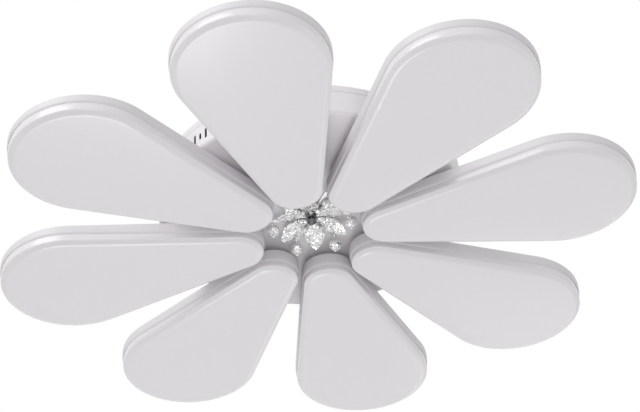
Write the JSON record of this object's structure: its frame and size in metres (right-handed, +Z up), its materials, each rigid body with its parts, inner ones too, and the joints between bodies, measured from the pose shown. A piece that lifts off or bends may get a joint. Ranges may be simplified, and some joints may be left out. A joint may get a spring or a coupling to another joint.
{
  "type": "flush ceiling light",
  "caption": "Flower-shaped flush LED ceiling light: opal petal lamps in grey trays round a cut-glass rosette, carried by a round white canopy.",
  "frame": {"origin": "middle of the ceiling plate's upper face, on the ceiling plane", "axes": "+Z up into the ceiling, +X along the axis of petal 1, petals every 45 degrees towards +Y"},
  "size_m": [0.9034, 0.9034, 0.0997],
  "materials": {
    "white_paint": "satin white powder coat",
    "grey_paint": "matt light grey paint",
    "opal_acrylic": "satin opal white",
    "board_laminate": "white solder mask",
    "white_housing": "matt white moulding",
    "brown_sheath": "matt brown insulation",
    "black_rubber": "matt black",
    "zinc_steel": "bright zinc plate",
    "polished_chrome": "polished chrome",
    "dark_chrome": "dark polished chrome",
    "clear_glass": "cut and polished clear glass"
  },
  "bodies": {
    "light": {"ceiling_plate": "white_paint", "canopy": "white_paint", "supply_grommet": "black_rubber", "canopy_screws": "zinc_steel", "led_driver_1": "white_housing", "led_driver_2": "white_housing", "terminal_block": "white_housing", "terminal_screws": "zinc_steel", "stud_nuts": "zinc_steel", "mains_wires": "brown_sheath", "petal_leads": "white_housing", "petal_spacers": "zinc_steel", "petal_bolts": "zinc_steel", "petal_nuts": "zinc_steel", "lead_conduits": "white_housing", "board_screws": "zinc_steel", "rosette_star": "polished_chrome", "rosette_rod": "zinc_steel", "rod_nut": "zinc_steel", "finial": "dark_chrome", "crystal_pins": "polished_chrome", "small_crystals": "clear_glass", "petal_tray_1": "grey_paint", "led_board_1": "board_laminate", "petal_tray_2": "grey_paint", "led_board_2": "board_laminate", "petal_tray_3": "grey_paint", "led_board_3": "board_laminate", "petal_tray_4": "grey_paint", "led_board_4": "board_laminate", "petal_tray_5": "grey_paint", "led_board_5": "board_laminate", "petal_tray_6": "grey_paint", "led_board_6": "board_laminate", "petal_tray_7": "grey_paint", "led_board_7": "board_laminate", "petal_tray_8": "grey_paint", "led_board_8": "board_laminate", "glass_leaf_1": "clear_glass", "crystal_1": "clear_glass", "glass_leaf_2": "clear_glass", "crystal_2": "clear_glass", "glass_leaf_3": "clear_glass", "crystal_3": "clear_glass", "glass_leaf_4": "clear_glass", "crystal_4": "clear_glass", "glass_leaf_5": "clear_glass", "crystal_5": "clear_glass", "glass_leaf_6": "clear_glass", "crystal_6": "clear_glass"},
    "cover_1": {"petal_cover_1": "opal_acrylic"},
    "cover_2": {"petal_cover_2": "opal_acrylic"},
    "cover_3": {"petal_cover_3": "opal_acrylic"},
    "cover_4": {"petal_cover_4": "opal_acrylic"},
    "cover_5": {"petal_cover_5": "opal_acrylic"},
    "cover_6": {"petal_cover_6": "opal_acrylic"},
    "cover_7": {"petal_cover_7": "opal_acrylic"},
    "cover_8": {"petal_cover_8": "opal_acrylic"}
  },
  "joints": [
    {"name": "cover_1_unclip", "type": "slide", "parent": "light", "child": "cover_1", "axis": [0, 0, -1], "range_m": [0, 0.04]},
    {"name": "cover_2_unclip", "type": "slide", "parent": "light", "child": "cover_2", "axis": [0, 0, -1], "range_m": [0, 0.04]},
    {"name": "cover_3_unclip", "type": "slide", "parent": "light", "child": "cover_3", "axis": [0, 0, -1], "range_m": [0, 0.04]},
    {"name": "cover_4_unclip", "type": "slide", "parent": "light", "child": "cover_4", "axis": [0, 0, -1], "range_m": [0, 0.04]},
    {"name": "cover_5_unclip", "type": "slide", "parent": "light", "child": "cover_5", "axis": [0, 0, -1], "range_m": [0, 0.04]},
    {"name": "cover_6_unclip", "type": "slide", "parent": "light", "child": "cover_6", "axis": [0, 0, -1], "range_m": [0, 0.04]},
    {"name": "cover_7_unclip", "type": "slide", "parent": "light", "child": "cover_7", "axis": [0, 0, -1], "range_m": [0, 0.04]},
    {"name": "cover_8_unclip", "type": "slide", "parent": "light", "child": "cover_8", "axis": [0, 0, -1], "range_m": [0, 0.04]}
  ]
}
